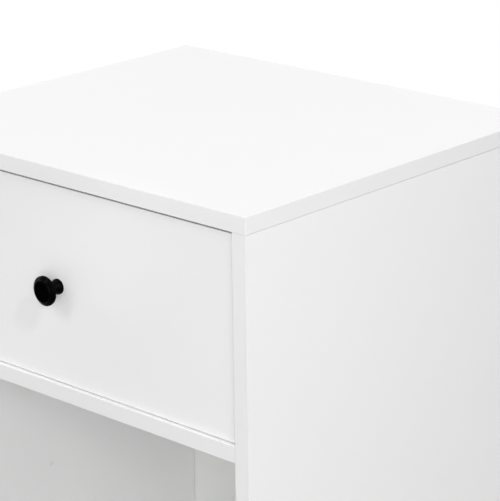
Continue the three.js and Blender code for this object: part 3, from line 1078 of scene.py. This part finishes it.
for level in levels:
    low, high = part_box(f"{level}_knob")
    front_low, front_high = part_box(f"{level}_drawer_front")
    rim = rounded([(*knob_flare[-1], 0), *knob_rim, (*knob_face[0], 0)], steps=6)[1:-1]
    profile = [(0, 0), *smoothed(knob_flare), *rim, *knob_face]
    root = Vector((0, high.y, (low.z + high.z) / 2))
    gap = (front_low.y - high.y) / mm
    points = [(radius * mm, (forward if forward > 0 else -gap) * mm) for radius, forward in profile]
    form = turned(points, knob_facets, facing(root, (0, -1, 0)))
    # Faces of the dished face inside the step take the copy with its reflection painted out
    # (painted shade).
    for face in form.faces:
        spot = face.calc_center_median() - root
        if -spot.y > knob_painted_shade_from and math.hypot(spot.x, spot.z) < knob_painted_shade_radius:
            face.material_index = painted_shade_slot
    knob = shade(keep(f"{level}_turned_knob", mesh_of("knob", form), satin_black, face_black_painted_shade))
    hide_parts(f"{level}_knob")
    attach(knob, f"{level}_drawer")
    screw = set_parts(f"{level}_knob_machine_screw", screw_tree, [
        ((0, front_high.y, root.z), (0, 1, 0), (1, 0, 0)),
    ], {
        "Head Diameter": 8 * mm, "Head Height": 2.2 * mm, "Slot Length": 4.8 * mm,
        "Slot Width": 1.0 * mm, "Slot Depth": 1.4 * mm, "Shank Diameter": 4 * mm,
        "Shank Length": 24 * mm,
    }, plated_zinc)
    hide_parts(f"{level}_knob_screw")
    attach(screw, f"{level}_drawer")

# Drawer boxes. Sides and back of thinner board wrapped in white foil. Two small cams in each side
# pull the front on, two screws through each side hold the back, and the hardboard bottom slides in
# grooves and is nailed up to the back.
foil = finish(
    "White foil on thin board", (0.885, 0.885, 0.88), (0.875, 0.875, 0.87), 0.46, 0.04,
    grain=0.6 * mm, wave=20 * mm, share=0.6, bump=0.01 * mm,
)
small_cam = 11.4 * mm
small_bore = 12 * mm
small_bore_depth = 9.5 * mm
small_cam_from_front = 24 * mm
cam_heights = (38 * mm, 98 * mm)
screw_heights = (45 * mm, 105 * mm)
bottom_nails = 4
nail_inset = 20 * mm
for level in levels:
    body = f"{level}_drawer"
    back_low, back_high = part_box(f"{level}_drawer_back")
    sheet_low, sheet_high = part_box(f"{level}_drawer_bottom")
    back_middle = (back_low.y + back_high.y) / 2
    cams, box_screws = [], []
    for side, hand in sides:
        node = f"{level}_drawer_{side}_side"
        low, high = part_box(node)
        inside = hand * min(hand * low.x, hand * high.x)
        outside = hand * max(hand * low.x, hand * high.x)
        groove_x = hand * (sheet_high.x + groove_play)
        spaces = bmesh.new()
        block_into(
            spaces, (inside - hand * overrun, low.y - overrun, sheet_low.z - groove_play),
            (groove_x, high.y + overrun, sheet_high.z + groove_play),
        )
        for rise in cam_heights:
            spot = (inside, low.y + small_cam_from_front, low.z + rise)
            bore_into(spaces, spot, (1, 0, 0), small_bore, small_bore_depth)
            cams.append((spot, (-hand, 0, 0), (0, -1, 0)))
        for rise in screw_heights:
            box_screws.append(((outside, back_middle, low.z + rise), (hand, 0, 0), (0, 0, 1)))
        raw = {(Y, -1), (Y, 1), (Z, -1)}
        board(node, X, raw, body, facing_finish=foil, spaces=spaces)
    board(
        f"{level}_drawer_back", Y, {(X, -1), (X, 1), (Z, -1)}, body,
        facing_finish=foil,
    )
    hardboard_sheet(f"{level}_drawer_bottom", Z, 1, body)
    nail_places = []
    for step in range(bottom_nails):
        x = (back_low.x + nail_inset) * (1 - 2 * step / (bottom_nails - 1))
        nail_places.append(((x, back_middle, sheet_low.z), (0, 0, -1), (1, 0, 0)))
    for piece in (
        set_parts(f"{level}_drawer_cams", cam_tree, cams, {
            "Cam Diameter": small_cam, "Cam Depth": 9.1 * mm, "Slot Length": 6.4 * mm,
            "Slot Width": 1.4 * mm, "Slot Depth": 2.8 * mm, "Rim": 1.1 * mm, "Notch": 1.5 * mm,
            "Bolt Diameter": 5 * mm, "Thread Diameter": 4 * mm, "Bolt Down": 6 * mm,
        }, cast_zinc),
        set_parts(f"{level}_drawer_box_screws", screw_tree, box_screws, {
            "Head Height": 1.2 * mm, "Slot Depth": 0.8 * mm, "Shank Length": 30 * mm,
        }, plated_zinc),
        set_parts(f"{level}_drawer_bottom_nails", nail_tree, nail_places, {}, plated_zinc),
    ):
        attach(piece, body)

# Drawer rails. Bent steel like the cabinet runners, screwed to the drawer sides. Each has a ledge
# under the drawer side, and a flange that rests on the cabinet's roller, with its own roller on a
# pin at the rear.
rail_shelf = 10 * mm
rail_slot_drop = 1 * mm
ledge_spots = (50 * mm, 250 * mm)
for level in levels:
    rail_screws = []
    for side, hand in sides:
        node = f"{level}_{side}_drawer_runner"
        low, high, edge, reach = runner_facts(node, hand)
        middle, width, _ = roller_facts(f"{level}_{side}_drawer_roller")
        web = reach - rail_shelf - gauge / 2
        bend = rounded([
            (0, high.z - gauge / 2, 0), (web, high.z - gauge / 2, runner_bend),
            (web, low.z + gauge / 2, runner_bend), (reach, low.z + gauge / 2, 0),
        ])
        rail = prism(sheet_outline(bend, gauge), low.y, high.y, across_runner(hand, edge))
        web_edge = edge - web + gauge / 2
        forms = [rail, rivet(middle, width, hand)]
        slot_height = middle.z - rail_slot_drop
        runner_piece(node, forms, web_edge, hand, slot_height, low.y, f"{level}_drawer")
        ledge = hand * (edge - reach + rail_shelf / 2)
        rail_screws += [
            ((hand * web_edge, low.y + spot, middle.z), (hand, 0, 0), (0, 0, 1))
            for spot in screw_spots
        ] + [((ledge, low.y + spot, low.z), (0, 0, -1), (0, 1, 0)) for spot in ledge_spots]
    screws = set_parts(f"{level}_drawer_rail_screws", screw_tree, rail_screws, {}, plated_zinc)
    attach(screws, f"{level}_drawer")

# Studio. A plain pale floor that turns into white a way off, and that hides nothing from a camera
# under it. Soft lamps stand round it, with a narrow one for the upper knob's highlights, and the
# camera looks down on the upper front right corner, as the photograph does.
floor_half = 14.0
floor_white_from, floor_white_to = 2.1, 3.1
floor_below = 0.1 * mm
floor_bounce = 0.6
studio, tree, shader, place = new_material("Pale studio floor")


def seen_directly(tree):
    """One for a ray from the camera, a glossy ray or a transmitted one, and otherwise zero."""
    rays = add(tree, "ShaderNodeLightPath").outputs
    first = math_of("MAXIMUM", rays["Is Camera Ray"], rays["Is Glossy Ray"])
    return math_of("MAXIMUM", first, rays["Is Transmission Ray"])


seen = seen_directly(tree)
surface = surface_of(place, grain=2 * mm, wave=90 * mm, share=0.5)
pale = colour_mix(tree, surface["Shade"], (0.62, 0.62, 0.62), (0.6, 0.6, 0.6))
bounce = times(seen, 1 - floor_bounce, floor_bounce)
tone = add(tree, "ShaderNodeVectorMath", {0: pale, "Scale": bounce}, operation="SCALE").outputs[0]
tree.links.new(tone, shader.inputs["Base Color"])
shader.inputs["Roughness"].default_value = 0.8
shader.inputs["Specular IOR Level"].default_value = 0.2
flat = add(tree, "ShaderNodeVectorMath", {0: place, 1: (1, 1, 0)}, operation="MULTIPLY").outputs[0]
away = add(tree, "ShaderNodeVectorMath", {0: flat}, operation="LENGTH").outputs["Value"]
far = add(tree, "ShaderNodeMapRange", {
    "Value": away, "From Min": floor_white_from, "From Max": floor_white_to,
}, interpolation_type="SMOOTHSTEP").outputs[0]
white = add(tree, "ShaderNodeEmission", {"Color": (1, 1, 1, 1), "Strength": 1.0}).outputs[0]
blend = add(tree, "ShaderNodeMixShader", {
    0: times(far, seen), 1: shader.outputs[0], 2: white,
}).outputs[0]
rays = add(tree, "ShaderNodeLightPath").outputs
under = add(tree, "ShaderNodeNewGeometry").outputs["Backfacing"]
shown = add(tree, "ShaderNodeMixShader", {
    0: times(under, rays["Is Camera Ray"]), 1: blend,
    2: add(tree, "ShaderNodeBsdfTransparent").outputs[0],
}).outputs[0]
tree.links.new(shown, tree.nodes["Material Output"].inputs["Surface"])
floor_form = bmesh.new()
bmesh.ops.create_grid(
    floor_form, x_segments=1, y_segments=1, size=floor_half,
    matrix=Matrix.Translation((0, 0, -floor_below)),
)
keep("studio_floor", mesh_of("studio_floor", floor_form), studio)

ambient = 0.3
world = bpy.data.worlds.new("Studio")
bpy.context.scene.world = world
world.use_nodes = True
tree = world.node_tree
sky = tree.nodes["Background"]
sky.inputs["Color"].default_value = (1, 1, 1, 1)
seen = seen_directly(tree)
tree.links.new(times(seen, 1 - ambient, ambient), sky.inputs["Strength"])

lamps = (
    ("overhead", (0.1, 0.0, 2.9), (0.0, 0.0, 0.5), 2.2, 8.0),
    ("over left", (-0.9, -0.6, 2.6), (0.0, 0.0, 0.6), 1.4, 5.0),
    ("front left", (-0.55, -2.2, 2.7), (0.0, -0.1, 0.6), 0.6, 7.0),
    ("small front left", (-0.94, -2.54, 2.14), (0.0, -0.1, 0.6), 0.3, 2.5),
    ("small side right", (2.1, -1.05, 2.5), (0.0, 0.0, 0.6), 0.12, 8.0),
    ("wide right", (3.6, -3.2, 2.6), (0.0, 0.0, 0.6), 1.0, 46.0),
    ("low right", (3.6, -2.4, 1.5), (0.0, 0.0, 0.6), 1.0, 13.0),
    ("far front right", (2.5, -3.7, 2.2), (0.0, 0.0, 0.5), 2.0, 36.5),
    ("low front right", (2.6, -3.6, 0.95), (0.0, 0.0, 0.6), 1.2, 25.0),
    ("right", (1.3, -0.32, 0.95), (0.23, -0.18, 0.62), 0.5, 2.5),
    ("left", (-2.6, -0.6, 1.8), (0.0, 0.0, 0.6), 1.4, 16.0),
    ("over rear", (-0.3, 2.4, 3.0), (0.0, 0.0, 0.6), 1.4, 25.0),
    ("rear", (-0.5, 3.2, 0.9), (0.0, 0.0, 0.5), 1.4, 15.0),
)


def stand_lamp(name, kind, spot, aim, power):
    """A lamp that looks from spot to aim, and that the camera doesn't see."""
    lamp = bpy.data.lights.new(name, kind)
    lamp.energy = power
    holder = bpy.data.objects.new(name, lamp)
    bpy.context.scene.collection.objects.link(holder)
    holder.visible_camera = False
    turn = (Vector(aim) - Vector(spot)).to_track_quat("-Z", "Y")
    holder.matrix_world = Matrix.Translation(spot) @ turn.to_matrix().to_4x4()
    return lamp


for name, spot, aim, size, power in lamps:
    lamp = stand_lamp(name, "AREA", spot, aim, power)
    lamp.shape = "SQUARE"
    lamp.size = size
snoot_place, snoot_aim, snoot_power = (1.169, -0.667, 1.675), (0.0, -0.2, 0.69), 12.0
snoot = stand_lamp("snoot on the knob", "SPOT", snoot_place, snoot_aim, snoot_power)
snoot.spot_size = math.radians(6)
snoot.spot_blend = 1.0
snoot.shadow_soft_size = 0.03

lens = bpy.data.cameras.new("camera")
lens.lens = 159.6
lens.sensor_width = 36
lens.clip_start = 0.05
camera = bpy.data.objects.new("camera", lens)
bpy.context.scene.collection.objects.link(camera)
camera_place = (1.37296, -1.43151, 1.33163)
yaw, pitch, roll = (math.radians(angle) for angle in (42.6668, 18.3537, -0.7582))
turn = Euler((math.radians(90) - pitch, 0, yaw)).to_matrix() @ Matrix.Rotation(roll, 3, "Z")
camera.matrix_world = Matrix.Translation(camera_place) @ turn.to_4x4()
bpy.context.scene.camera = camera
bpy.context.scene.view_settings.view_transform = "Standard"
